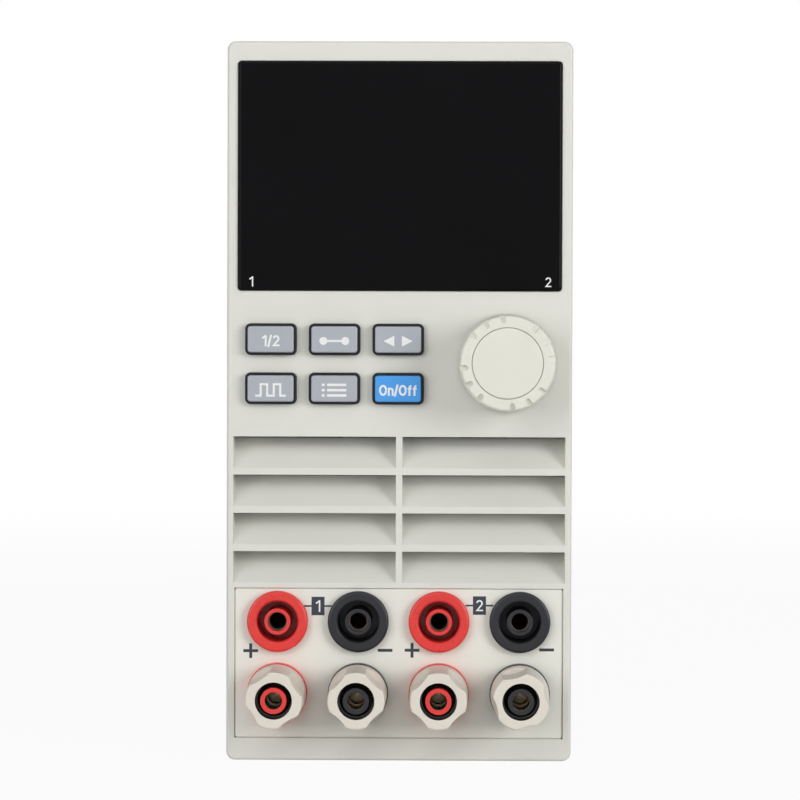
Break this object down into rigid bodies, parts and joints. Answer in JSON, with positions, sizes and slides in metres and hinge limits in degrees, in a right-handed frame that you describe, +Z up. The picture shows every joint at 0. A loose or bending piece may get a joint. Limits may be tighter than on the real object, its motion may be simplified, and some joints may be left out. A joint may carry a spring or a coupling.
{
  "type": "dc electronic load",
  "caption": "Plug-in bench load with a dark display window, keys, a turning knob, louvred fan inlets, safety sockets and binding posts on the front of a long sheet-metal body.",
  "frame": {"origin": "middle of the whole part's box, at the bottom of the bezel and the glide runners", "axes": "+Z up, +Y from the front to the rear connector, +X to the right as seen from the front"},
  "size_m": [0.082, 0.5736, 0.1709],
  "materials": {
    "ivory_plastic": "fine-textured moulded plastic",
    "knob_plastic": "satin moulded plastic",
    "window_black": "polished smoked acrylic",
    "display_glass": "dark display glass",
    "collar_rubber": "matt rubber",
    "dome_silicone": "silicone",
    "key_grey": "satin plastic",
    "key_blue": "satin plastic",
    "red_plastic": "moulded plastic",
    "black_plastic": "moulded plastic",
    "nut_plastic": "moulded plastic",
    "nickel": "nickel plate",
    "dark_metal": "black nickel plate",
    "encoder_metal": "plated steel",
    "zinc_steel": "zinc-plated sheet steel",
    "screw_steel": "zinc-plated steel",
    "nylon": "natural nylon",
    "connector_plastic": "glass-filled plastic",
    "fan_plastic": "moulded plastic",
    "sink_aluminium": "extruded aluminium",
    "transistor_plastic": "moulded epoxy",
    "circuit_board": "solder-masked laminate",
    "copper_bar": "copper",
    "ribbon_plastic": "flat cable"
  },
  "bodies": {
    "load_module": {"front_bezel": "ivory_plastic", "terminal_plate": "ivory_plastic", "display_window": "window_black", "display_panel": "display_glass", "key_surround": "collar_rubber", "key_dome_sheet": "dome_silicone", "sense_sockets_positive": "red_plastic", "post_bases_positive": "red_plastic", "post_tips_positive": "red_plastic", "sense_sockets_negative": "black_plastic", "post_bases_negative": "black_plastic", "post_tips_negative": "black_plastic", "sense_contacts": "nickel", "sense_socket_nuts": "nickel", "post_studs": "nickel", "post_nuts_rear": "nickel", "guide_pins": "nickel", "chassis_screws": "nickel", "encoder_body": "encoder_metal", "front_subpanel": "zinc_steel", "chassis_tray": "zinc_steel", "top_cover": "zinc_steel", "rear_panel": "zinc_steel", "bezel_screws": "screw_steel", "fan_screws": "screw_steel", "slide_runners": "nylon", "backplane_connector": "connector_plastic", "fan_frame_left": "fan_plastic", "fan_frame_right": "fan_plastic", "heat_sink_left": "sink_aluminium", "heat_sink_right": "sink_aluminium", "power_transistors": "transistor_plastic", "front_board": "circuit_board", "power_boards": "circuit_board", "control_board": "circuit_board", "bus_bars": "copper_bar", "ribbon_cable": "ribbon_plastic"},
    "key_channel_select": {"key_channel_select": "key_grey"},
    "key_short": {"key_short": "key_grey"},
    "key_cursor": {"key_cursor": "key_grey"},
    "key_transient": {"key_transient": "key_grey"},
    "key_mode": {"key_mode": "key_grey"},
    "key_on_off": {"key_on_off": "key_blue"},
    "knob": {"knob_body": "knob_plastic", "knob_cap": "knob_plastic", "encoder_shaft": "nickel"},
    "clamp_left_positive": {"clamp_washer_left_positive": "nickel"},
    "nut_left_positive": {"fluted_nut_left_positive": "nut_plastic", "nut_insert_left_positive": "dark_metal"},
    "clamp_left_negative": {"clamp_washer_left_negative": "nickel"},
    "nut_left_negative": {"fluted_nut_left_negative": "nut_plastic", "nut_insert_left_negative": "dark_metal"},
    "clamp_right_positive": {"clamp_washer_right_positive": "nickel"},
    "nut_right_positive": {"fluted_nut_right_positive": "nut_plastic", "nut_insert_right_positive": "dark_metal"},
    "clamp_right_negative": {"clamp_washer_right_negative": "nickel"},
    "nut_right_negative": {"fluted_nut_right_negative": "nut_plastic", "nut_insert_right_negative": "dark_metal"},
    "rotor_left": {"fan_rotor_left": "fan_plastic"},
    "rotor_right": {"fan_rotor_right": "fan_plastic"}
  },
  "joints": [
    {"name": "key_channel_select_press", "type": "slide", "parent": "load_module", "child": "key_channel_select", "axis": [0, 1, 0], "range_m": [0, 0.001], "stiffness_N_per_m": 1500, "deforming": ["key_dome_sheet"]},
    {"name": "key_short_press", "type": "slide", "parent": "load_module", "child": "key_short", "axis": [0, 1, 0], "range_m": [0, 0.001], "stiffness_N_per_m": 1500, "deforming": ["key_dome_sheet"]},
    {"name": "key_cursor_press", "type": "slide", "parent": "load_module", "child": "key_cursor", "axis": [0, 1, 0], "range_m": [0, 0.001], "stiffness_N_per_m": 1500, "deforming": ["key_dome_sheet"]},
    {"name": "key_transient_press", "type": "slide", "parent": "load_module", "child": "key_transient", "axis": [0, 1, 0], "range_m": [0, 0.001], "stiffness_N_per_m": 1500, "deforming": ["key_dome_sheet"]},
    {"name": "key_mode_press", "type": "slide", "parent": "load_module", "child": "key_mode", "axis": [0, 1, 0], "range_m": [0, 0.001], "stiffness_N_per_m": 1500, "deforming": ["key_dome_sheet"]},
    {"name": "key_on_off_press", "type": "slide", "parent": "load_module", "child": "key_on_off", "axis": [0, 1, 0], "range_m": [0, 0.001], "stiffness_N_per_m": 1500, "deforming": ["key_dome_sheet"]},
    {"name": "knob_turn", "type": "hinge", "parent": "load_module", "child": "knob", "pos_m": [0.0255, -0.2677, 0.09477], "axis": [0, -1, 0], "continuous": true},
    {"name": "nut_advance_left_positive", "type": "slide", "parent": "load_module", "child": "clamp_left_positive", "axis": [0, -1, 0], "range_m": [0, 0.006]},
    {"name": "nut_turn_left_positive", "type": "hinge", "parent": "clamp_left_positive", "child": "nut_left_positive", "pos_m": [-0.0288, -0.2677, 0.01615], "axis": [0, -1, 0], "range_deg": [0, 2160]},
    {"name": "nut_advance_left_negative", "type": "slide", "parent": "load_module", "child": "clamp_left_negative", "axis": [0, -1, 0], "range_m": [0, 0.006]},
    {"name": "nut_turn_left_negative", "type": "hinge", "parent": "clamp_left_negative", "child": "nut_left_negative", "pos_m": [-0.0096, -0.2677, 0.01615], "axis": [0, -1, 0], "range_deg": [0, 2160]},
    {"name": "nut_advance_right_positive", "type": "slide", "parent": "load_module", "child": "clamp_right_positive", "axis": [0, -1, 0], "range_m": [0, 0.006]},
    {"name": "nut_turn_right_positive", "type": "hinge", "parent": "clamp_right_positive", "child": "nut_right_positive", "pos_m": [0.0096, -0.2677, 0.01615], "axis": [0, -1, 0], "range_deg": [0, 2160]},
    {"name": "nut_advance_right_negative", "type": "slide", "parent": "load_module", "child": "clamp_right_negative", "axis": [0, -1, 0], "range_m": [0, 0.006]},
    {"name": "nut_turn_right_negative", "type": "hinge", "parent": "clamp_right_negative", "child": "nut_right_negative", "pos_m": [0.0288, -0.2677, 0.01615], "axis": [0, -1, 0], "range_deg": [0, 2160]},
    {"name": "fan_spin_left", "type": "hinge", "parent": "load_module", "child": "rotor_left", "pos_m": [-0.0201, -0.2277, 0.0597], "axis": [0, 1, 0], "continuous": true},
    {"name": "fan_spin_right", "type": "hinge", "parent": "load_module", "child": "rotor_right", "pos_m": [0.0201, -0.2277, 0.0597], "axis": [0, 1, 0], "continuous": true}
  ],
  "couplings": [
    {"joint": "nut_advance_left_positive", "follows": "nut_turn_left_positive", "m_per_rad": 0.00015915},
    {"joint": "nut_advance_left_negative", "follows": "nut_turn_left_negative", "m_per_rad": 0.00015915},
    {"joint": "nut_advance_right_positive", "follows": "nut_turn_right_positive", "m_per_rad": 0.00015915},
    {"joint": "nut_advance_right_negative", "follows": "nut_turn_right_negative", "m_per_rad": 0.00015915}
  ]
}
